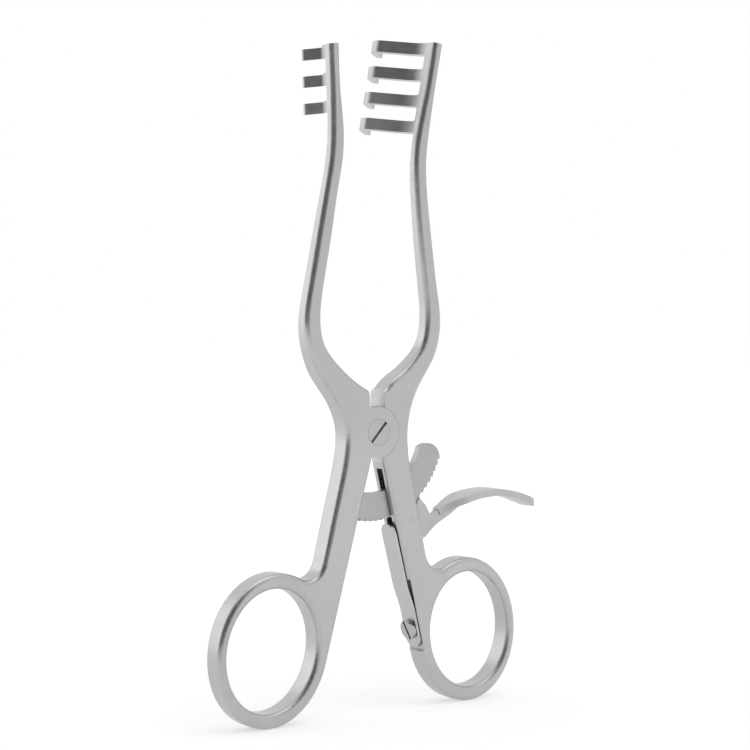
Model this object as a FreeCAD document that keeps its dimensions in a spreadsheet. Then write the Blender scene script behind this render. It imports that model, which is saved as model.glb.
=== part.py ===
import FreeCAD, Part
import math
import os
from FreeCAD import Placement, Rotation, Vector

# Self retaining retractor with ring handles, a lap joint, an arc ratchet and 3 to 4 blunt prongs.
# Frame in millimetres: X across the arms, Y from the flat front faces to the back, Z up towards the
# blades. The origin is on the pivot axis in the plane of the front faces. An outline is drawn in the
# X, Z plane as seen from the front, and angles round the pivot are measured from straight down (-Z)
# towards +X. The female arm carries the lever and stands at +X. The male arm carries the bar at -X.

os.makedirs("parts", exist_ok=True)
doc = FreeCAD.newDocument("retractor")

# Driving dimensions: millimetres, degrees and counts.
DIMENSIONS = [
    ("forging_thickness", 5.8),
    ("arm_edge_round", 1.1),
    ("ring_edge_round", 1.0),
    ("running_clearance", 0.05),
    ("seat_clearance", 0.02),
    ("blade_top", 93.5),
    ("blade_half_spacing", 15.52),
    ("blade_width", 2.8),
    ("blade_skew", -1.25),
    ("blade_thickness", 2.4),
    ("neck_height", 66.0),
    ("neck_half_spacing", 12.35),
    ("neck_width", 3.7),
    ("neck_skew", 0.4),
    ("knee_height", 26.0),
    ("knee_half_spacing", 17.8),
    ("knee_width", 4.5),
    ("knee_skew", 1.3),
    ("knee_thickness", 3.4),
    ("crotch_height", 10.1),
    ("crotch_half_gap", 2.3),
    ("crotch_skew", 0.65),
    ("waist_half_width", 9.15),
    ("shank_foot_half_width", 15.2),
    ("shank_foot_rise", 19.6),
    ("shank_start_half_gap", 1.9),
    ("shank_start_depth", 7.3),
    ("lap_radius", 6.0),
    ("ring_offset", 28.75),
    ("ring_depth", 49.5),
    ("ring_half_width", 15.2),
    ("ring_half_length", 17.9),
    ("ring_hole_half_width", 12.3),
    ("ring_hole_half_length", 14.35),
    ("ring_hole_shift", 0.5),
    ("ring_tilt", 10.0),
    ("half_opening", 8.5),
    ("prong_height", 2.7),
    ("prong_pitch", 6.35),
    ("male_prong_pitch", 6.48),
    ("female_prongs", 4),
    ("male_prongs", 3),
    ("prong_thickness", 1.7),
    ("comb_width", 1.95),
    ("prong_root_round", 0.5),
    ("prong_lean", 38.0),
    ("prong_bend_radius", 10.0),
    ("comb_root_depth", 3.1),
    ("prong_reach", 7.7),
    ("prong_rise", 1.0),
    ("male_comb_lift", 0.25),
    ("hook_radius", 2.0),
    ("hook_turn", 92.0),
    ("hook_length", 3.4),
    ("screw_head_radius", 3.15),
    ("screw_head_depth", 1.2),
    ("screw_shoulder_radius", 2.1),
    ("screw_thread_radius", 1.7),
    ("driver_slot_width", 0.7),
    ("driver_slot_depth", 0.6),
    ("driver_slot_angle", 48.0),
    ("bar_tip_radius", 21.4),
    ("bar_inner_radius", 14.5),
    ("bar_thickness", 1.8),
    ("bar_front", 1.9),
    ("bar_root_angle", 27.0),
    ("bar_first_tooth_angle", 70.5),
    ("bar_nose_radius", 18.0),
    ("bar_nose_angle", 79.3),
    ("bar_corner_angle", 73.5),
    ("tooth_pitch_angle", 4.25),
    ("tooth_count", 20),
    ("tooth_depth", 0.65),
    ("rivet_radius", 0.8),
    ("rivet_angle", 21.5),
    ("rivet_inset", 2.2),
    ("mortise_side_clearance", 0.2),
    ("mortise_top_run", 1.65),
    ("mortise_foot_run", 22.7),
    ("lever_pin_x", 10.6),
    ("lever_pin_depth", 21.4),
    ("lever_pin_radius", 0.9),
    ("pawl_release_angle", 6.4),
    ("pawl_tooth_index", 7),
    ("pawl_play_angle", 0.5),
    ("pawl_root_gap", 0.15),
    ("thumb_rest_width", 7.2),
    ("thumb_rest_thickness", 1.7),
    ("spring_width", 5.0),
    ("spring_thickness", 0.7),
    ("spring_front", 0.4),
    ("spring_free_run", 15.2),
    ("spring_bend_length", 11.8),
    ("spring_seat_length", 4.3),
    ("spring_screw_rise", 5.75),
    ("spring_foot_length", 4.8),
    ("spring_free_lift", 0.5),
    ("spring_bend_lift", 0.25),
    ("spring_seat_sink", 0.55),
    ("spring_recess_length", 12.8),
    ("spring_screw_head_radius", 2.4),
    ("spring_screw_head_height", 1.0),
    ("spring_screw_radius", 1.1),
    ("spring_screw_length", 2.6),
    ("spring_play", 0.12),
]

sheet = doc.addObject("Spreadsheet::Sheet", "Dimensions")
for row, (alias, value) in enumerate(DIMENSIONS, start=1):
    sheet.set("A%d" % row, alias)
    sheet.set("B%d" % row, str(value))
    sheet.setAlias("B%d" % row, alias)
doc.recompute()


def size(alias):
    return float(sheet.get(alias))


def flat(x, z):
    return Vector(x, z, 0)


def mirrored(points, side):
    return [flat(side * p.x, p.y) for p in points]


def round_pivot(radius, angle):
    turn = math.radians(angle)
    return flat(radius * math.sin(turn), -radius * math.cos(turn))


def turned(point, centre, angle):
    turn = math.radians(angle)
    dx, dz = point.x - centre.x, point.y - centre.y
    return flat(centre.x + dx * math.cos(turn) + dz * math.sin(turn),
                centre.y - dx * math.sin(turn) + dz * math.cos(turn))


def segment(start, end):
    return Part.LineSegment(start, end)


def spline(points, start_direction=None, end_direction=None):
    curve = Part.BSplineCurve()
    if start_direction is None:
        curve.interpolate(points)
    else:
        curve.interpolate(Points=points, InitialTangent=start_direction.normalize(),
                          FinalTangent=end_direction.normalize(), Scale=False)
    return curve


def polygon(points):
    return [segment(a, b) for a, b in zip(points, points[1:] + points[:1])]


def circle(centre, radius):
    return [Part.Circle(centre, Vector(0, 0, 1), radius)]


# The straight inner side of each shank: runs are measured down it from its top end.
thickness = size("forging_thickness")
shank_start = flat(size("shank_start_half_gap"), -size("shank_start_depth"))
ring_centre = flat(size("ring_offset"), -size("ring_depth"))
ring_outer_a, ring_outer_b = size("ring_half_width"), size("ring_half_length")
shank_foot_z = size("shank_foot_rise") - size("ring_depth")


def ring_point(side, a, b, t):
    tilt = math.radians(size("ring_tilt"))
    u, v = a * math.cos(t), b * math.sin(t)
    x = ring_centre.x + u * math.cos(tilt) - v * math.sin(tilt)
    z = ring_centre.y + u * math.sin(tilt) + v * math.cos(tilt)
    return flat(side * x, z)


def ring_direction(side, a, b, t):
    tilt = math.radians(size("ring_tilt"))
    u, v = -a * math.sin(t), b * math.cos(t)
    x = u * math.cos(tilt) - v * math.sin(tilt)
    z = u * math.sin(tilt) + v * math.cos(tilt)
    return flat(side * x, z)


def ring_ellipse(side, a, b, shift=0.0):
    # The major end comes first, and the pair turns anticlockwise seen from the front. A shift moves
    # the ellipse away from the other handle.
    major, minor = (math.pi / 2, math.pi) if b >= a else (0, math.pi / 2)
    if side < 0:
        minor += math.pi
    aside = flat(side * shift, 0)
    return Part.Ellipse(ring_point(side, a, b, major) + aside, ring_point(side, a, b, minor) + aside,
                        flat(side * ring_centre.x, ring_centre.y) + aside)


def ring_tangent_parameter():
    # Where the straight inner side of the shank runs into the outer ellipse of the ring.
    tilt = math.radians(size("ring_tilt"))
    dx, dz = shank_start.x - ring_centre.x, shank_start.y - ring_centre.y
    u = (dx * math.cos(tilt) + dz * math.sin(tilt)) / ring_outer_a
    v = (-dx * math.sin(tilt) + dz * math.cos(tilt)) / ring_outer_b
    return math.atan2(v, u) + math.acos(1.0 / math.hypot(u, v))


inner_tangent = ring_tangent_parameter()
shank_end = ring_point(1, ring_outer_a, ring_outer_b, inner_tangent)
shank_run = (shank_end - shank_start).Length
shank_along = (shank_end - shank_start) / shank_run
shank_inward = flat(shank_along.y, -shank_along.x)


def on_shank(run, inward=0.0):
    # A point beside the inner side of the female shank; inward is towards the other handle.
    return shank_start + shank_along * run + shank_inward * inward


def station(height, half_spacing, width, edge):
    return flat(half_spacing + edge * width / 2, height)


def between(low, high, share):
    return low + (high - low) * share


def blade_centre(side, height):
    # Distance of the blade's spine from the middle. Both arms lean a little to one side.
    rise = (height - size("neck_height")) / (size("blade_top") - size("neck_height"))
    skew = between(size("neck_skew"), size("blade_skew"), rise)
    return between(size("neck_half_spacing"), size("blade_half_spacing"), rise) - side * skew


def arm_outline(side, top):
    # Closed outline of one arm: blade spine, neck, knee, waist, shank and ring. A positive skew moves
    # both arms towards the male side, which is how they lie in the set instrument.
    blade_w, neck_w, knee_w = size("blade_width"), size("neck_width"), size("knee_width")
    neck_z, neck_c, neck_s = size("neck_height"), size("neck_half_spacing"), -side * size("neck_skew")
    knee_z, knee_c, knee_s = size("knee_height"), size("knee_half_spacing"), -side * size("knee_skew")
    crotch = flat(size("crotch_half_gap") - side * size("crotch_skew"), size("crotch_height"))
    fall = neck_z - knee_z
    reach = knee_c - neck_c
    low, high = between(neck_z, top, 0.24), between(neck_z, top, 0.55)

    def upper(edge):
        return [
            station(top, blade_centre(side, top), blade_w, edge),
            station(high, blade_centre(side, high) - 0.1, blade_w, edge),
            station(low, blade_centre(side, low) - 0.3, between(blade_w, neck_w, 0.75), edge),
            station(neck_z, neck_c + neck_s, neck_w, edge),
            station(neck_z - fall * 0.22, neck_c + reach * 0.16 + between(neck_s, knee_s, 0.55), neck_w, edge),
            station(neck_z - fall * 0.5, neck_c + reach * 0.47 + between(neck_s, knee_s, 0.85),
                    between(neck_w, knee_w, 0.4), edge),
            station(neck_z - fall * 0.79, neck_c + reach * 0.83 + knee_s, between(neck_w, knee_w, 0.5), edge),
            station(knee_z, knee_c + knee_s, knee_w, edge),
        ]

    inner = upper(-1) + [
        flat(knee_c + knee_s - 3.65, knee_z - 5.6),
        flat(knee_c + knee_s - 5.95, knee_z - 8.5),
        flat(knee_c + knee_s - 9.05, knee_z - 11.3),
        flat(knee_c + knee_s - 12.9, knee_z - 14.1),
        crotch,
    ]
    outer = upper(1) + [
        flat(knee_c + knee_s + 1.4, knee_z - 5.6),
        flat(knee_c + knee_s + 0.25, knee_z - 8.5),
        flat(knee_c + knee_s - 3.35, knee_z - 14.0),
        flat(size("waist_half_width") + 1.6 - side * 0.5, 6.0),
        flat(size("waist_half_width") + 0.05, 0.0),
        flat(size("waist_half_width") + 0.4, -6.0),
        flat(size("shank_foot_half_width") - 3.4, shank_foot_z + 14.0),
        flat(size("shank_foot_half_width"), shank_foot_z),
    ]
    down_outer = flat(side * 0.24, -1)
    ring_start = math.radians(107)
    ring_start_point = ring_point(side, ring_outer_a, ring_outer_b, ring_start)
    ring_start_direction = ring_direction(side, ring_outer_a, ring_outer_b, ring_start) * -1
    notch = mirrored([flat(size("shank_foot_half_width") + 2.2, shank_foot_z - 3.3)], side)[0]
    outer = mirrored(outer, side)
    inner = mirrored(inner, side)
    lap_side = flat(side * size("shank_start_half_gap"), -size("shank_start_depth"))
    top_direction = inner[0] - inner[1]
    ring = ring_ellipse(side, ring_outer_a, ring_outer_b)
    ring_end_point = ring_point(side, ring_outer_a, ring_outer_b, inner_tangent)
    arc_ends = [ring.parameter(ring_end_point), ring.parameter(ring_start_point)]
    ring_arc = Part.ArcOfEllipse(ring, *(arc_ends if side > 0 else reversed(arc_ends)))
    return [
        segment(inner[0], outer[0]),
        spline(outer, top_direction * -1, down_outer),
        spline([outer[-1], notch, ring_start_point], down_outer, ring_start_direction),
        ring_arc,
        segment(ring_end_point, lap_side),
        segment(lap_side, inner[-1]),
        spline(list(reversed(inner)), flat(side * 1.0, 0.5), top_direction),
    ]


def origin_plane(body, role):
    return [feature for feature in body.Origin.OriginFeatures if feature.Role == role][0]


def free_sketch(body, name, edges, where):
    # A sketch at any placement, held by the body's XZ plane.
    sketch = body.newObject("Sketcher::SketchObject", name)
    sketch.AttachmentSupport = [(origin_plane(body, "XZ_Plane"), "")]
    sketch.MapMode = "FlatFace"
    sketch.AttachmentOffset = Placement(Vector(), Rotation(Vector(1, 0, 0), -90)) * where
    sketch.addGeometry(edges, False)
    return sketch


def front_sketch(body, name, edges, depth=0.0):
    # A sketch seen from the front, at a depth behind the front faces.
    return free_sketch(body, name, edges, Placement(Vector(0, depth, 0), Rotation(Vector(1, 0, 0), 90)))


def add_feature(body, kind, name, sketch, length, reverse=False, both=False):
    feature = body.newObject("PartDesign::" + kind, name)
    feature.Profile = sketch
    feature.Reversed = reverse
    feature.Midplane = both
    if isinstance(length, str):
        feature.setExpression("Length", length)
    else:
        feature.Length = length
    doc.recompute()
    return feature


def pad_back(body, name, edges, depth, length):
    # Material from a depth behind the front faces towards the back.
    return add_feature(body, "Pad", name, front_sketch(body, name + "Sketch", edges, depth), length, True)


def cut_back(body, name, edges, depth, length):
    return add_feature(body, "Pocket", name, front_sketch(body, name + "Sketch", edges, depth), length)


def round_edges(body, name, radius_alias, keep):
    base = body.Tip
    chosen = ["Edge%d" % i for i, edge in enumerate(base.Shape.Edges, start=1) if keep(edge)]
    fillet = body.newObject("PartDesign::Fillet", name)
    fillet.Base = (base, chosen)
    fillet.setExpression("Radius", "Dimensions." + radius_alias)
    doc.recompute()
    return fillet


def middle_of(edge):
    return edge.valueAt((edge.FirstParameter + edge.LastParameter) / 2)


def on_flat_faces(edge):
    heights = [v.Point.y for v in edge.Vertexes] + [middle_of(edge).y]
    return all(abs(y) < 1e-4 for y in heights) or all(abs(y - thickness) < 1e-4 for y in heights)


COMB_FRONT = 1.2
COMB_SPARE = 4.0
COMB_DEPTH = 30.0
FOOT_BITE = 0.2
BLADE_SPARE = 1.0
TAPER_START = 1.0
KNEE_DROP = 2.0
LOWER_SHARES = (0.42, 0.36)
UPPER_SHARE = 0.45


def ribbon(start, steps, width_start, width_end):
    # Closed profile of a bent strip that sets off backwards: each step is (length, turn towards +X).
    total = sum(length for length, turn in steps)
    sides = {1: [], -1: []}
    point, angle, done, half = start, 0.0, 0.0, width_start / 2

    def across(heading, distance):
        turn = math.radians(heading)
        return flat(math.cos(turn) * distance, -math.sin(turn) * distance)

    def ahead(heading, distance):
        turn = math.radians(heading)
        return flat(math.sin(turn) * distance, math.cos(turn) * distance)

    for length, turn in steps:
        done += length
        next_half = (width_start + (width_end - width_start) * done / total) / 2
        mean_half = (half + next_half) / 2
        end_angle = angle + turn
        if turn:
            radius = length / math.radians(turn)
            centre = point + across(angle, radius)
            end = centre - across(end_angle, radius)
            middle = centre - across(angle + turn / 2, radius)
        else:
            end = point + ahead(angle, length)
        for hand, run in sides.items():
            first = point + across(angle, hand * half)
            last = end + across(end_angle, hand * next_half)
            if turn:
                run.append(Part.Arc(first, middle + across(angle + turn / 2, hand * mean_half), last))
            else:
                run.append(segment(first, last))
        point, angle, half = end, end_angle, next_half
    cap = Part.Arc(point + across(angle, half), point + ahead(angle, half), point - across(angle, half))
    base = segment(start - across(0, width_start / 2), start + across(0, width_start / 2))
    return sides[1] + [cap] + sides[-1] + [base]


def comb_gap(front, half, reach):
    # Outline of the space between two prongs: local x to the back, local y up.
    corner = size("prong_root_round")
    bulge = corner * (1 - math.sqrt(0.5))
    return [
        segment(flat(reach, -half), flat(front + corner, -half)),
        Part.Arc(flat(front + corner, -half), flat(front + bulge, bulge - half), flat(front, corner - half)),
        segment(flat(front, corner - half), flat(front, half - corner)),
        Part.Arc(flat(front, half - corner), flat(front + bulge, half - bulge), flat(front + corner, half)),
        segment(flat(front + corner, half), flat(reach, half)),
        segment(flat(reach, half), flat(reach, -half)),
    ]


def add_comb(body, side, top, prongs, pitch):
    # The comb grows out of the spine, leans inwards and turns outwards at its prong tips.
    prong = size("prong_height")
    height = (prongs - 1) * pitch + prong
    foot_z = top - height
    foot_x = blade_centre(side, foot_z)
    slope = (blade_centre(side, top) - foot_x) / height
    steps = [
        (size("prong_bend_radius") * math.radians(size("prong_lean")), -side * size("prong_lean")),
        (size("prong_reach"), 0),
        (size("hook_radius") * math.radians(size("hook_turn")), side * size("hook_turn")),
        (size("hook_length"), 0),
    ]
    aside = side * (size("comb_width") - size("blade_width")) / 2
    profile = ribbon(flat(aside, COMB_FRONT), steps, size("comb_width"), size("prong_thickness"))
    lean = Rotation(Vector(0, 1, 0), side * math.degrees(math.atan(slope)))
    foot = Placement(Vector(side * foot_x, 0, foot_z), lean)
    sheet = free_sketch(body, "CombSketch", profile, foot)
    add_feature(body, "Pad", "Comb", sheet, height + COMB_SPARE)
    # The gaps, and the trims below and above, are square to the blades of the closed instrument and
    # rise a little towards the prong tips.
    turn, rise = math.radians(side * size("half_opening")), math.radians(size("prong_rise"))
    back = Vector(0, math.cos(rise), math.sin(rise))
    up = Vector(math.sin(turn), -math.cos(turn) * math.sin(rise), math.cos(turn) * math.cos(rise))
    square = Rotation(back, up, back.cross(up), "XYZ")
    for index in range(prongs + 1):
        low = foot_z + (index - 1) * pitch + prong
        high = foot_z + index * pitch
        front = size("comb_root_depth")
        if index == 0:
            low -= COMB_SPARE
            front = size("blade_thickness") - FOOT_BITE
        if index == prongs:
            high = low + 3 * COMB_SPARE
            front = -COMB_SPARE
        middle = (low + high) / 2
        where = Placement(Vector(side * (foot_x + (middle - foot_z) * slope), 0, middle), square)
        gap = comb_gap(front, (high - low) / 2, COMB_DEPTH)
        name = "Gap%d" % index
        sketch = free_sketch(body, name + "Sketch", gap, where)
        add_feature(body, "Pocket", name, sketch, COMB_DEPTH, both=True)


def taper_back(body):
    # The arms grow thinner from the crotch up to the blades: their back is cut along a curve.
    crotch_z, knee_z, neck_z = size("crotch_height"), size("knee_height"), size("neck_height")
    knee_t, blade_t = size("knee_thickness"), size("blade_thickness")
    top, back = size("blade_top") + COMB_SPARE, thickness + COMB_SPARE
    curve = [
        Vector(0, thickness, crotch_z - TAPER_START),
        Vector(0, between(knee_t, thickness, LOWER_SHARES[0]), between(crotch_z, knee_z, LOWER_SHARES[1])),
        Vector(0, knee_t, knee_z - KNEE_DROP),
        Vector(0, between(blade_t, knee_t, UPPER_SHARE), between(knee_z, neck_z, UPPER_SHARE)),
        Vector(0, blade_t, neck_z),
        Vector(0, blade_t, top),
    ]
    local = [flat(point.y, point.z) for point in curve]
    edges = [
        spline(local, flat(0, 1), flat(0, 1)),
        segment(local[-1], flat(back, top)),
        segment(flat(back, top), flat(back, local[0].y)),
        segment(flat(back, local[0].y), local[0]),
    ]
    side_view = Placement(Vector(), Rotation(Vector(0, 1, 0), Vector(0, 0, 1), Vector(1, 0, 0), "XYZ"))
    sketch = free_sketch(body, "BackTaperSketch", edges, side_view)
    add_feature(body, "Pocket", "BackTaper", sketch, 3 * size("blade_half_spacing"), both=True)


def add_arm(label, side, prongs, pitch, top):
    body = doc.addObject("PartDesign::Body", label)
    body.Label = label
    pad_back(body, "Outline", arm_outline(side, top + BLADE_SPARE), 0.0, "Dimensions.forging_thickness")
    hole = ring_ellipse(side, size("ring_hole_half_width"), size("ring_hole_half_length"),
                        size("ring_hole_shift"))
    cut_back(body, "FingerHole", [hole], 0.0, "Dimensions.forging_thickness")
    lap_edge = size("crotch_half_gap") + size("crotch_skew") + 0.01

    def along_outline(edge):
        point = middle_of(edge)
        return on_flat_faces(edge) and not edge.isClosed() and abs(point.x) > lap_edge \
            and point.z < top + BLADE_SPARE / 2

    round_edges(body, "FingerHoleRound", "ring_edge_round", lambda e: on_flat_faces(e) and e.isClosed())
    round_edges(body, "EdgeRound", "arm_edge_round", along_outline)
    taper_back(body)
    add_comb(body, side, top, prongs, pitch)
    return body


lap_gap = size("running_clearance")
male_top = size("blade_top") - size("prong_pitch") / 2 + size("male_comb_lift")
pivot = flat(0, 0)
female = add_arm("female_arm", 1, int(size("female_prongs")), size("prong_pitch"), size("blade_top"))
male = add_arm("male_arm", -1, int(size("male_prongs")), size("male_prong_pitch"), male_top)

# Flush round lap joint: the female disc lies at the back, the male disc at the front.
half_lap = "Dimensions.forging_thickness / 2 %s Dimensions.running_clearance / 2"
cut_back(female, "LapRecess", circle(pivot, size("lap_radius") + lap_gap), 0.0, half_lap % "+")
pad_back(female, "LapDisc", circle(pivot, size("lap_radius")), (thickness + lap_gap) / 2, half_lap % "-")
cut_back(male, "LapRecess", circle(pivot, size("lap_radius") + lap_gap), (thickness - lap_gap) / 2,
         half_lap % "+")
pad_back(male, "LapDisc", circle(pivot, size("lap_radius")), 0.0, half_lap % "-")
cut_back(female, "ThreadHole", circle(pivot, size("screw_thread_radius") + size("seat_clearance")), 0.0,
         thickness)
cut_back(male, "ShoulderHole", circle(pivot, size("screw_shoulder_radius") + lap_gap), 0.0, thickness)
cut_back(male, "HeadSeat", circle(pivot, size("screw_head_radius") + lap_gap), 0.0,
         "Dimensions.screw_head_depth + Dimensions.running_clearance")


def slot_outline(width, length, angle):
    turn = math.radians(angle)
    along = flat(math.cos(turn), math.sin(turn)) * length / 2
    aside = flat(-math.sin(turn), math.cos(turn)) * width / 2
    return polygon([along + aside, aside - along, flat(0, 0) - along - aside, along - aside])


def new_body(label):
    body = doc.addObject("PartDesign::Body", label)
    body.Label = label
    return body


# Pivot screw: slotted flush head, shoulder through the male disc, thread in the female disc.
screw = new_body("pivot_screw")
shoulder_end = (thickness + lap_gap) / 2
pad_back(screw, "Head", circle(pivot, size("screw_head_radius")), 0.0, "Dimensions.screw_head_depth")
pad_back(screw, "Shoulder", circle(pivot, size("screw_shoulder_radius")), size("screw_head_depth") / 2,
         shoulder_end - size("screw_head_depth") / 2)
pad_back(screw, "Thread", circle(pivot, size("screw_thread_radius")), size("screw_head_depth"),
         thickness - size("screw_head_depth"))
cut_back(screw, "DriverSlot", slot_outline(size("driver_slot_width"), 8.0, size("driver_slot_angle")), 0.0,
         "Dimensions.driver_slot_depth")

# Ratchet bar: a flat arc round the pivot with saw teeth on its outer edge.
tip_radius, bar_inner = size("bar_tip_radius"), size("bar_inner_radius")
root_radius = tip_radius - size("tooth_depth")
tooth_pitch = size("tooth_pitch_angle")
tooth_angles = [size("bar_first_tooth_angle") - tooth_pitch * k for k in range(int(size("tooth_count")))]
bar_start = -size("bar_root_angle")
rivet_spots = [round_pivot(bar_inner + size("rivet_inset"), -size("rivet_angle")),
               round_pivot(tip_radius - size("rivet_inset"), -size("rivet_angle"))]


def pivot_arc(radius, first, last):
    return Part.Arc(round_pivot(radius, first), round_pivot(radius, (first + last) / 2),
                    round_pivot(radius, last))


def bar_outline():
    edges = [
        segment(round_pivot(bar_inner, bar_start), round_pivot(tip_radius, bar_start)),
        pivot_arc(tip_radius, bar_start, tooth_angles[-1] - tooth_pitch),
    ]
    for angle in reversed(tooth_angles):
        foot, tip = round_pivot(root_radius, angle), round_pivot(tip_radius, angle)
        edges.append(segment(round_pivot(tip_radius, angle - tooth_pitch), foot))
        edges.append(segment(foot, tip))
    corner = round_pivot(bar_inner, size("bar_corner_angle"))
    nose = round_pivot(size("bar_nose_radius"), size("bar_nose_angle"))
    edges.append(Part.Arc(round_pivot(tip_radius, tooth_angles[0]), nose, corner))
    edges.append(pivot_arc(bar_inner, size("bar_corner_angle"), bar_start))
    return edges


bar = new_body("ratchet_bar")
pad_back(bar, "Strip", bar_outline(), size("bar_front"), "Dimensions.bar_thickness")
seat = size("seat_clearance")
rivet_hole = size("rivet_radius") + seat
cut_back(bar, "RivetHoleInner", circle(rivet_spots[0], rivet_hole), 0.0, thickness)
cut_back(bar, "RivetHoleOuter", circle(rivet_spots[1], rivet_hole), 0.0, thickness)

# The bar's root sits in a blind slot of the male shank and is held there by two flush rivets.
slot_end = bar_start - math.degrees(seat / bar_inner)
bar_slot = [
    segment(round_pivot(bar_inner - seat, slot_end), round_pivot(tip_radius + seat, slot_end)),
    pivot_arc(tip_radius + seat, slot_end, 0.0),
    segment(round_pivot(tip_radius + seat, 0.0), round_pivot(bar_inner - seat, 0.0)),
    pivot_arc(bar_inner - seat, 0.0, slot_end),
]
cut_back(male, "BarSlot", bar_slot, size("bar_front") - seat,
         "Dimensions.bar_thickness + 2 * Dimensions.seat_clearance")
cut_back(male, "RivetHoleInner", circle(rivet_spots[0], rivet_hole), 0.0, thickness)
cut_back(male, "RivetHoleOuter", circle(rivet_spots[1], rivet_hole), 0.0, thickness)


def pin_object(name, spot, radius):
    # A plain pin from the front faces to the back faces.
    pin = doc.addObject("Part::Cylinder", name)
    pin.setExpression("Radius", radius)
    pin.setExpression("Height", "Dimensions.forging_thickness")
    pin.Placement = Placement(Vector(spot.x, 0, spot.y), Rotation(Vector(1, 0, 0), -90))
    return pin


rivets = doc.addObject("Part::Compound", "bar_rivets")
rivets.Links = [pin_object("RivetInner", rivet_spots[0], "Dimensions.rivet_radius"),
                pin_object("RivetOuter", rivet_spots[1], "Dimensions.rivet_radius")]
rivets.Label = "bar_rivets"

# Mortise through the female shank for the bar and the lever, milled square to the shank.
pin_spot = flat(size("lever_pin_x"), -size("lever_pin_depth"))
mortise_front = size("bar_front") - size("mortise_side_clearance")
mortise = polygon([
    on_shank(size("mortise_top_run"), 4.0),
    on_shank(size("mortise_top_run"), -14.0),
    on_shank(size("mortise_foot_run"), -14.0),
    on_shank(size("mortise_foot_run"), 4.0),
])
cut_back(female, "Mortise", mortise, mortise_front,
         "Dimensions.bar_thickness + 2 * Dimensions.mortise_side_clearance")
cut_back(female, "PinHole", circle(pin_spot, size("lever_pin_radius") + seat), 0.0, thickness)
lever_pin = pin_object("lever_pin", pin_spot, "Dimensions.lever_pin_radius")
lever_pin.Label = "lever_pin"

# Release lever: pawl plate in the mortise and a thumb rest across its outer end.
caught = size("bar_first_tooth_angle") - tooth_pitch * size("pawl_tooth_index") - size("pawl_play_angle")
pawl_tip = round_pivot(root_radius + size("pawl_root_gap"), caught)
pawl_heel = round_pivot(tip_radius - size("pawl_root_gap") / 2, caught - 0.6 * tooth_pitch)
pawl_tip = turned(pawl_tip, pin_spot, size("pawl_release_angle"))
pawl_heel = turned(pawl_heel, pin_spot, size("pawl_release_angle"))


def from_pin(*offsets):
    return [pin_spot + flat(x, z) for x, z in offsets]


back_of_pawl = from_pin((2.6, 3.3), (1.4, 1.9), (-0.3, 1.75), (-1.7, 0.6), (-3.1, -0.9), (-4.3, -2.6))
tail = from_pin((-4.3, -2.6), (-4.5, -3.3), (-4.1, -4.4), (-3.3, -4.9))
under_side = from_pin((4.2, -5.2), (5.4, -4.6), (7.3, -2.9), (9.9, -1.1), (13.2, 0.6), (16.4, 2.7),
                      (19.4, 4.3))
upper_side = from_pin((13.5, 3.1), (9.8, 2.1), (8.3, 0.95), (7.6, 0.5), (6.9, 0.9), (5.0, 3.5))
plate = [
    segment(pawl_tip, pawl_heel),
    segment(pawl_heel, back_of_pawl[0]),
    spline(back_of_pawl),
    spline(tail),
    segment(tail[-1], under_side[0]),
    spline(under_side),
    segment(under_side[-1], upper_side[0]),
    spline(upper_side),
    segment(upper_side[-1], pawl_tip),
]
REST_LINE = [(9.5, 1.3), (11.5, 2.3), (13.9, 3.3), (16.9, 4.25), (19.9, 4.95), (23.6, 5.4), (26.7, 5.5),
             (30.5, 5.0), (34.2, 4.1), (38.1, 2.75), (39.6, 2.1)]


def beside_rest_line(distance):
    line = from_pin(*REST_LINE)
    points = []
    for index, point in enumerate(line):
        ahead = line[min(index + 1, len(line) - 1)] - line[max(index - 1, 0)]
        ahead.normalize()
        points.append(point + flat(-ahead.y, ahead.x) * distance)
    return points


lever = new_body("release_lever")
half_rest = size("thumb_rest_thickness") / 2
lever_middle = size("bar_front") + size("bar_thickness") / 2
rest_half_width = size("thumb_rest_width") / 2
rest_top, rest_under = beside_rest_line(half_rest), beside_rest_line(-half_rest)
rest_profile = [
    spline(rest_top),
    segment(rest_top[-1], rest_under[-1]),
    spline(list(reversed(rest_under))),
    segment(rest_under[0], rest_top[0]),
]
pad_back(lever, "PawlPlate", plate, size("bar_front"), "Dimensions.bar_thickness")
pad_back(lever, "ThumbRest", rest_profile, lever_middle - rest_half_width, "Dimensions.thumb_rest_width")


def plan_trim(hand):
    # Seen from above: the flare from the plate to the thumb rest and the round end, on one side.
    near = lever_middle + hand * (size("bar_thickness") / 2 + 0.2)
    far = lever_middle + hand * rest_half_width
    out = far + hand * 3.0
    root_x, full_x = pin_spot.x + 8.5, pin_spot.x + 17.0
    end_x = rest_top[-1].x + 0.6
    flare = spline([flat(root_x, near), flat(root_x + 2.0, near + hand * 0.25),
                    flat(full_x - 2.6, far - hand * 0.75), flat(full_x, far)])
    tip = spline([flat(end_x - 4.2, far), flat(end_x - 1.8, far - hand * 0.7),
                  flat(end_x - 0.5, lever_middle + hand * 1.7), flat(end_x, lever_middle + hand * 0.3)])
    return [
        flare,
        segment(flat(full_x, far), flat(end_x - 4.2, far)),
        tip,
        segment(flat(end_x, lever_middle + hand * 0.3), flat(end_x + 3.0, lever_middle + hand * 0.3)),
        segment(flat(end_x + 3.0, lever_middle + hand * 0.3), flat(end_x + 3.0, out)),
        segment(flat(end_x + 3.0, out), flat(root_x, out)),
        segment(flat(root_x, out), flat(root_x, near)),
    ]


for hand, name in ((-1, "PlanTrimFront"), (1, "PlanTrimBack")):
    plan = free_sketch(lever, name + "Sketch", plan_trim(hand), Placement())
    add_feature(lever, "Pocket", name, plan, 90.0, both=True)
cut_back(lever, "PinBore", circle(pin_spot, size("lever_pin_radius") + lap_gap), 0.0, thickness)

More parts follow.
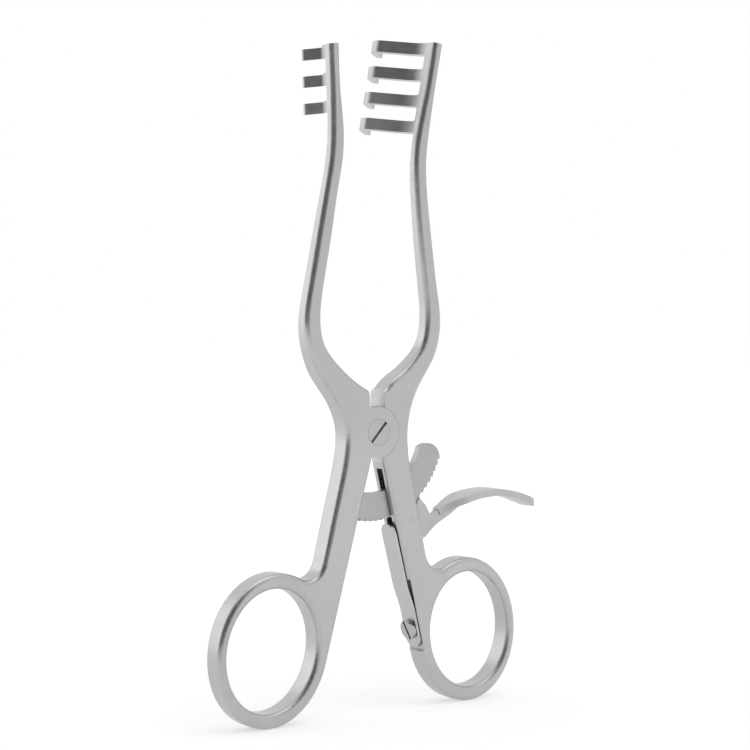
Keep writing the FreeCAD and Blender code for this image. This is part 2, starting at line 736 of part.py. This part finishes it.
# Leaf spring: screwed into a sunk seat on the inner side of the female shank, free end at the tail.
spring_sheet = size("spring_thickness")
screw_run = shank_run - size("spring_screw_rise")
foot_run = screw_run + size("spring_foot_length")
under_spring = [
    on_shank(foot_run, -size("spring_seat_sink")),
    on_shank(screw_run - size("spring_seat_length"), -size("spring_seat_sink")),
    on_shank(screw_run - size("spring_bend_length"), size("spring_bend_lift")),
    on_shank(size("spring_free_run"), size("spring_free_lift")),
]
over_spring = [point + shank_inward * spring_sheet for point in under_spring]
spring_profile = [
    segment(over_spring[0], over_spring[1]),
    spline([over_spring[1], over_spring[2]], shank_along * -4.0, (over_spring[3] - over_spring[2]) * 0.25),
    segment(over_spring[2], over_spring[3]),
    segment(over_spring[3], under_spring[3]),
    segment(under_spring[3], under_spring[2]),
    spline([under_spring[2], under_spring[1]], (under_spring[2] - under_spring[3]) * 0.25, shank_along * 4.0),
    segment(under_spring[1], under_spring[0]),
    segment(under_spring[0], over_spring[0]),
]
spring = new_body("leaf_spring")
pad_back(spring, "Leaf", spring_profile, size("spring_front"), "Dimensions.spring_width")

# Frames on the seat: local x along the shank downwards, local y to the front, z out of the seat.
seat_rotation = Rotation(Vector(shank_along.x, 0, shank_along.y), Vector(0, -1, 0),
                         Vector(shank_inward.x, 0, shank_inward.y), "XYZ")
half_spring = size("spring_width") / 2
spring_middle = size("spring_front") + half_spring


def above_seat(inward):
    spot = on_shank(screw_run, inward)
    return Placement(Vector(spot.x, spring_middle, spot.y), seat_rotation)


def spring_trim(hand):
    # Seen square to the seat: the round free end and the tapered foot, on one side.
    free = size("spring_free_run") - screw_run
    foot = size("spring_foot_length")
    edge, out = hand * half_spring, hand * (half_spring + 2.0)
    free_end = [
        Part.Arc(flat(free + half_spring, edge),
                 flat(free + half_spring * (1 - math.sqrt(0.5)), edge * math.sqrt(0.5)), flat(free, 0)),
        segment(flat(free, 0), flat(free - 2.0, 0)),
        segment(flat(free - 2.0, 0), flat(free - 2.0, out)),
        segment(flat(free - 2.0, out), flat(free + half_spring, out)),
        segment(flat(free + half_spring, out), flat(free + half_spring, edge)),
    ]
    foot_end = [
        Part.Arc(flat(foot - 2.2, edge), flat(foot - 0.6, edge * 0.7), flat(foot, 0)),
        segment(flat(foot, 0), flat(foot + 2.0, 0)),
        segment(flat(foot + 2.0, 0), flat(foot + 2.0, out)),
        segment(flat(foot + 2.0, out), flat(foot - 2.2, out)),
        segment(flat(foot - 2.2, out), flat(foot - 2.2, edge)),
    ]
    return free_end + foot_end


for hand, name in ((-1, "EndTrimFront"), (1, "EndTrimBack")):
    ends = free_sketch(spring, name + "Sketch", spring_trim(hand), above_seat(0.0))
    add_feature(spring, "Pocket", name, ends, 12.0, both=True)
hole = circle(flat(0, 0), size("spring_screw_radius") + size("spring_play"))
screw_hole = free_sketch(spring, "ScrewHoleSketch", hole, above_seat(0.0))
add_feature(spring, "Pocket", "ScrewHole", screw_hole, 6.0, both=True)

# The recess leaves the spring a small play all round, so that it can flex about its screw.
recess_depth = size("spring_seat_sink") + size("spring_play")
recess = polygon([
    on_shank(screw_run - size("spring_recess_length"), 3.0),
    on_shank(screw_run - size("spring_recess_length"), -recess_depth),
    on_shank(foot_run + 0.8, -recess_depth),
    on_shank(foot_run + 0.8, 3.0),
])
cut_back(female, "SpringSeat", recess, 0.0, thickness)
tapped = circle(flat(0, 0), size("spring_screw_radius") + seat)
add_feature(female, "Pocket", "SpringScrewHole",
            free_sketch(female, "SpringScrewHoleSketch", tapped, above_seat(-recess_depth)),
            "Dimensions.spring_screw_length + Dimensions.spring_play")

# Spring screw: a slotted cheese head over the spring.
spring_screw = new_body("spring_screw")
head_base = spring_sheet - size("spring_seat_sink") + size("spring_play")
head_disc = circle(flat(0, 0), size("spring_screw_head_radius"))
shank_disc = circle(flat(0, 0), size("spring_screw_radius"))
add_feature(spring_screw, "Pad", "Head", free_sketch(spring_screw, "HeadSketch", head_disc,
                                                     above_seat(head_base)),
            "Dimensions.spring_screw_head_height")
stem_base = -recess_depth - size("spring_screw_length")
add_feature(spring_screw, "Pad", "Stem", free_sketch(spring_screw, "StemSketch", shank_disc,
                                                     above_seat(stem_base)),
            head_base - stem_base + size("spring_screw_head_height") / 2)
head_slot = free_sketch(spring_screw, "HeadSlotSketch", slot_outline(size("driver_slot_width"), 6.0, 20.0),
                        above_seat(head_base + size("spring_screw_head_height")))
add_feature(spring_screw, "Pocket", "HeadSlot", head_slot, "Dimensions.driver_slot_depth")

doc.recompute()
NODES = [female, male, screw, bar, rivets, lever, lever_pin, spring, spring_screw]
for item in doc.Objects:
    if "Invalid" in item.State or "Error" in item.State:
        raise RuntimeError("bad object: " + item.Name)
for node in NODES:
    if node.Shape.isNull() or not node.Shape.isValid():
        raise RuntimeError("bad shape: " + node.Label)
for node in NODES:
    node.Shape.exportStep("parts/%s.step" % node.Label)
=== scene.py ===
import math

import bpy
from mathutils import Matrix, Vector


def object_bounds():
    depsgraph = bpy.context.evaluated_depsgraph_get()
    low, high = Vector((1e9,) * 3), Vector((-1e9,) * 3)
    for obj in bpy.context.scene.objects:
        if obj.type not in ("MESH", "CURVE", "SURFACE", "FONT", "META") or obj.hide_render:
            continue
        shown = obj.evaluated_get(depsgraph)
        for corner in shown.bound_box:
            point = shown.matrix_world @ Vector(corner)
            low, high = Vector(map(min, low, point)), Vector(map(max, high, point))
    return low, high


# Looks of a self retaining retractor in satin stainless steel, in metres, in the frame of the solids.
# The instrument stands upright on its finger rings, with its flat front faces towards -Y.

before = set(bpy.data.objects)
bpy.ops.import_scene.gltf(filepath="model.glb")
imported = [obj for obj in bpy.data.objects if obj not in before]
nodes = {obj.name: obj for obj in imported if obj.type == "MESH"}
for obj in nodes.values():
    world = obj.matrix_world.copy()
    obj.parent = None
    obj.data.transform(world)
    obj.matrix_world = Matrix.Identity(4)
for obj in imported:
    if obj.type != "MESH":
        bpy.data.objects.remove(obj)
cad_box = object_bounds()
scene = bpy.context.scene

# The photograph: a square picture, the pivot's place in it, and its scale there.
PICTURE_SIDE = 750
PIVOT_PIXEL = (379.0, 432.4)
PIXELS_PER_METRE = 4215.0
CAMERA_DISTANCE = 0.433
CAMERA_AZIMUTH = math.radians(-36.98)
CAMERA_ELEVATION = math.radians(1.61)
CAMERA_ROLL = math.radians(0.75)
SENSOR_WIDTH = 36.0
NEAREST_SEEN = 0.01

# Lamps: name, place, target, size and power in watts.
LAMPS = [
    ("key_lamp", (-0.62, 0.78, 0.16), (0.0, 0.0, 0.02), 0.90, 1.3),
    ("top_lamp", (0.10, -0.25, 0.80), (0.0, 0.0, 0.02), 0.60, 0.8),
]

# Grey cards seen only in reflections, like the dark room behind a camera:
# name, place, width and height.
CARDS = [
    ("card_by_camera", (-0.62, -0.61, 0.05), 2.5, 2.4),
]
CARD_TONE = (0.27, 0.27, 0.27, 1.0)

# The floor: its paper, and its glow for the eye, weaker round the instrument than far away.
FLOOR_WIDTH = 6.0
FLOOR_TONE = (0.93, 0.93, 0.93, 1.0)
FLATTEN = (1.0, 1.0, 0.0)
FLOOR_GLOW = 0.42
FLOOR_GLOW_FAR = 0.56
FLOOR_FADE_START = 0.08
FLOOR_FADE_END = 0.30

# The world: white for the eye, and this much light on the surfaces.
WHITE = (1.0, 1.0, 1.0, 1.0)
WORLD_LIGHT = 0.55

# Steel: how far the tone varies, and what share of that is grain lines and what share clouds.
DARKEST = (0.91, 0.91, 0.915)
LIGHTEST = (1.06, 1.06, 1.06)
GRAIN_SHARE = 0.55
CLOUD_SHARE = 0.45

# Steel: the noises that make clouds and handling marks, and what grain and marks do to the roughness.
NOISE_ROUGHNESS = 0.55
EVEN = (1.0, 1.0, 1.0)
CLOUD_SCALE = 55.0
MARK_SCALE = 420.0
SOFT_DETAIL = 3.0
FINE_DETAIL = 5.0
GRAIN_ROUGHNESS = 0.05
MARK_SMOOTHEST = -0.03
MARK_ROUGHEST = 0.04
ANISOTROPY = 0.35
GRAIN_DEPTH = 0.00002

# Directions of the grain: the smallest number is along it.
ACROSS = (60.0, 900.0, 2400.0)
UPWARDS = (2400.0, 900.0, 60.0)


def new_material(name):
    material = bpy.data.materials.new(name)
    material.use_nodes = True
    tree = material.node_tree
    tree.nodes.clear()
    return material, tree


def add_node(tree, kind, **settings):
    node = tree.nodes.new(kind)
    for key, value in settings.items():
        if key in node.inputs:
            node.inputs[key].default_value = value
        else:
            setattr(node, key, value)
    return node


def stretched_noise(tree, coordinates, stretch, scale, detail):
    # Noise drawn out along the axis whose stretch is smallest.
    mapping = add_node(tree, "ShaderNodeMapping")
    mapping.inputs["Scale"].default_value = stretch
    tree.links.new(coordinates, mapping.inputs["Vector"])
    noise = add_node(tree, "ShaderNodeTexNoise", Scale=scale, Detail=detail)
    noise.inputs["Roughness"].default_value = NOISE_ROUGHNESS
    tree.links.new(mapping.outputs["Vector"], noise.inputs["Vector"])
    return noise.outputs["Fac"]


def remap(tree, value, low, high, from_low=0.3, from_high=0.7):
    # Most values of a noise lie between the two defaults.
    ramp = add_node(tree, "ShaderNodeMapRange")
    ramp.inputs["From Min"].default_value = from_low
    ramp.inputs["From Max"].default_value = from_high
    ramp.inputs["To Min"].default_value = low
    ramp.inputs["To Max"].default_value = high
    tree.links.new(value, ramp.inputs["Value"])
    return ramp.outputs["Result"]


def satin_steel(name, tone, roughness, grain, bump):
    # Brushed stainless steel: grain lines along one axis, soft clouds and faint handling marks.
    material, tree = new_material(name)
    place = add_node(tree, "ShaderNodeTexCoord").outputs["Object"]
    lines = stretched_noise(tree, place, grain, 1.0, SOFT_DETAIL)
    clouds = stretched_noise(tree, place, EVEN, CLOUD_SCALE, SOFT_DETAIL)
    marks = stretched_noise(tree, place, EVEN, MARK_SCALE, FINE_DETAIL)

    shade = add_node(tree, "ShaderNodeMix", data_type="RGBA")
    shade.inputs["A"].default_value = (*(tone * share for share in DARKEST), 1.0)
    shade.inputs["B"].default_value = (*(tone * share for share in LIGHTEST), 1.0)
    blend = add_node(tree, "ShaderNodeMath", operation="MULTIPLY_ADD")
    tree.links.new(remap(tree, lines, 0.0, 1.0), blend.inputs[0])
    blend.inputs[1].default_value = GRAIN_SHARE
    tree.links.new(remap(tree, clouds, 0.0, CLOUD_SHARE), blend.inputs[2])
    tree.links.new(blend.outputs[0], shade.inputs["Factor"])

    rough = add_node(tree, "ShaderNodeMath", operation="ADD")
    smooth, coarse = roughness - GRAIN_ROUGHNESS, roughness + GRAIN_ROUGHNESS
    tree.links.new(remap(tree, lines, smooth, coarse), rough.inputs[0])
    tree.links.new(remap(tree, marks, MARK_SMOOTHEST, MARK_ROUGHEST), rough.inputs[1])

    relief = add_node(tree, "ShaderNodeBump", Strength=bump, Distance=GRAIN_DEPTH)
    tree.links.new(lines, relief.inputs["Height"])

    shader = add_node(tree, "ShaderNodeBsdfPrincipled", Metallic=1.0)
    shader.inputs["Anisotropic"].default_value = ANISOTROPY
    tree.links.new(shade.outputs["Result"], shader.inputs["Base Color"])
    tree.links.new(rough.outputs[0], shader.inputs["Roughness"])
    tree.links.new(relief.outputs["Normal"], shader.inputs["Normal"])
    output = add_node(tree, "ShaderNodeOutputMaterial")
    tree.links.new(shader.outputs["BSDF"], output.inputs["Surface"])
    return material


def dress(material, *node_names):
    for node_name in node_names:
        for slot in nodes[node_name].material_slots:
            slot.material = material


def seen_by_eye(tree):
    # One for camera rays, reflections and views through glass.
    path = add_node(tree, "ShaderNodeLightPath")
    seen = add_node(tree, "ShaderNodeMath", operation="MAXIMUM")
    tree.links.new(path.outputs["Is Camera Ray"], seen.inputs[0])
    tree.links.new(path.outputs["Is Glossy Ray"], seen.inputs[1])
    also = add_node(tree, "ShaderNodeMath", operation="MAXIMUM")
    tree.links.new(seen.outputs[0], also.inputs[0])
    tree.links.new(path.outputs["Is Transmission Ray"], also.inputs[1])
    return also.outputs[0]


def make_world():
    world = bpy.data.worlds.new("studio")
    scene.world = world
    world.use_nodes = True
    tree = world.node_tree
    tree.nodes.clear()
    soft = add_node(tree, "ShaderNodeBackground", Strength=WORLD_LIGHT)
    soft.inputs["Color"].default_value = WHITE
    white = add_node(tree, "ShaderNodeBackground", Strength=1.0)
    white.inputs["Color"].default_value = WHITE
    mix = add_node(tree, "ShaderNodeMixShader")
    tree.links.new(seen_by_eye(tree), mix.inputs["Fac"])
    tree.links.new(soft.outputs[0], mix.inputs[1])
    tree.links.new(white.outputs[0], mix.inputs[2])
    output = add_node(tree, "ShaderNodeOutputWorld")
    tree.links.new(mix.outputs[0], output.inputs["Surface"])


def new_sheet(name, width, height, level=0.0):
    # A flat rectangle round the Z axis.
    x, y = width / 2, height / 2
    mesh = bpy.data.meshes.new(name)
    corners = [(-x, -y, level), (x, -y, level), (x, y, level), (-x, y, level)]
    mesh.from_pydata(corners, [], [(0, 1, 2, 3)])
    sheet = bpy.data.objects.new(name, mesh)
    scene.collection.objects.link(sheet)
    return sheet


def make_floor(level):
    floor = new_sheet("floor", FLOOR_WIDTH, FLOOR_WIDTH, level)
    material, tree = new_material("floor_paper")
    paper = add_node(tree, "ShaderNodeBsdfDiffuse")
    paper.inputs["Color"].default_value = FLOOR_TONE
    place = add_node(tree, "ShaderNodeTexCoord").outputs["Object"]
    flat_place = add_node(tree, "ShaderNodeVectorMath", operation="MULTIPLY")
    flat_place.inputs[1].default_value = FLATTEN
    tree.links.new(place, flat_place.inputs[0])
    radius = add_node(tree, "ShaderNodeVectorMath", operation="LENGTH")
    tree.links.new(flat_place.outputs["Vector"], radius.inputs[0])
    glow = remap(tree, radius.outputs["Value"], FLOOR_GLOW, FLOOR_GLOW_FAR,
                 FLOOR_FADE_START, FLOOR_FADE_END)
    strength = add_node(tree, "ShaderNodeMath", operation="MULTIPLY")
    tree.links.new(glow, strength.inputs[0])
    tree.links.new(seen_by_eye(tree), strength.inputs[1])
    shine = add_node(tree, "ShaderNodeEmission")
    shine.inputs["Color"].default_value = WHITE
    tree.links.new(strength.outputs[0], shine.inputs["Strength"])
    both = add_node(tree, "ShaderNodeAddShader")
    tree.links.new(paper.outputs[0], both.inputs[0])
    tree.links.new(shine.outputs[0], both.inputs[1])
    output = add_node(tree, "ShaderNodeOutputMaterial")
    tree.links.new(both.outputs[0], output.inputs["Surface"])
    floor.data.materials.append(material)


def aim(obj, place, target):
    look = (Vector(target) - Vector(place)).normalized()
    turn = look.to_track_quat("-Z", "Y").to_matrix().to_4x4()
    obj.matrix_world = Matrix.Translation(place) @ turn


def make_lamps():
    for name, place, target, width, power in LAMPS:
        lamp = bpy.data.lights.new(name, "AREA")
        lamp.shape = "SQUARE"
        lamp.size = width
        lamp.energy = power
        obj = bpy.data.objects.new(name, lamp)
        scene.collection.objects.link(obj)
        aim(obj, place, target)


def make_cards():
    material, tree = new_material("card_cloth")
    cloth = add_node(tree, "ShaderNodeBsdfDiffuse")
    cloth.inputs["Color"].default_value = CARD_TONE
    output = add_node(tree, "ShaderNodeOutputMaterial")
    tree.links.new(cloth.outputs[0], output.inputs["Surface"])
    for name, place, width, height in CARDS:
        card = new_sheet(name, width, height)
        card.data.materials.append(material)
        aim(card, place, (0.0, 0.0, place[2]))
        card.visible_camera = False
        card.visible_shadow = False
        card.visible_diffuse = False


def make_camera():
    focal_pixels = PIXELS_PER_METRE * CAMERA_DISTANCE
    back = Vector((math.sin(CAMERA_AZIMUTH) * math.cos(CAMERA_ELEVATION),
                   -math.cos(CAMERA_AZIMUTH) * math.cos(CAMERA_ELEVATION),
                   math.sin(CAMERA_ELEVATION)))
    level_right = Vector((math.cos(CAMERA_AZIMUTH), math.sin(CAMERA_AZIMUTH), 0.0))
    level_up = back.cross(level_right)
    right = math.cos(CAMERA_ROLL) * level_right + math.sin(CAMERA_ROLL) * level_up
    up = math.cos(CAMERA_ROLL) * level_up - math.sin(CAMERA_ROLL) * level_right
    aside = (PIVOT_PIXEL[0] - PICTURE_SIDE / 2) / focal_pixels
    below = (PIVOT_PIXEL[1] - PICTURE_SIDE / 2) / focal_pixels
    place = (back - right * aside + up * below) * CAMERA_DISTANCE
    camera = bpy.data.cameras.new("camera")
    camera.sensor_width = SENSOR_WIDTH
    camera.lens = focal_pixels * SENSOR_WIDTH / PICTURE_SIDE
    camera.clip_start = NEAREST_SEEN
    obj = bpy.data.objects.new("camera", camera)
    scene.collection.objects.link(obj)
    turn = Matrix((right, up, back)).transposed().to_4x4()
    obj.matrix_world = Matrix.Translation(place) @ turn
    scene.camera = obj


arm_steel = satin_steel("arm_steel", tone=0.49, roughness=0.33, grain=ACROSS, bump=0.30)
bar_steel = satin_steel("bar_steel", tone=0.43, roughness=0.36, grain=UPWARDS, bump=0.25)
lever_steel = satin_steel("lever_steel", tone=0.475, roughness=0.33, grain=ACROSS, bump=0.20)
screw_steel = satin_steel("screw_steel", tone=0.47, roughness=0.30, grain=ACROSS, bump=0.10)
leaf_steel = satin_steel("leaf_steel", tone=0.52, roughness=0.33, grain=UPWARDS, bump=0.15)

dress(arm_steel, "female_arm", "male_arm")
dress(bar_steel, "ratchet_bar")
dress(lever_steel, "release_lever")
dress(screw_steel, "pivot_screw", "lever_pin", "bar_rivets", "spring_screw")
dress(leaf_steel, "leaf_spring")

make_world()
make_floor(cad_box[0][2])
make_lamps()
make_cards()
make_camera()
scene.view_settings.view_transform = "Standard"
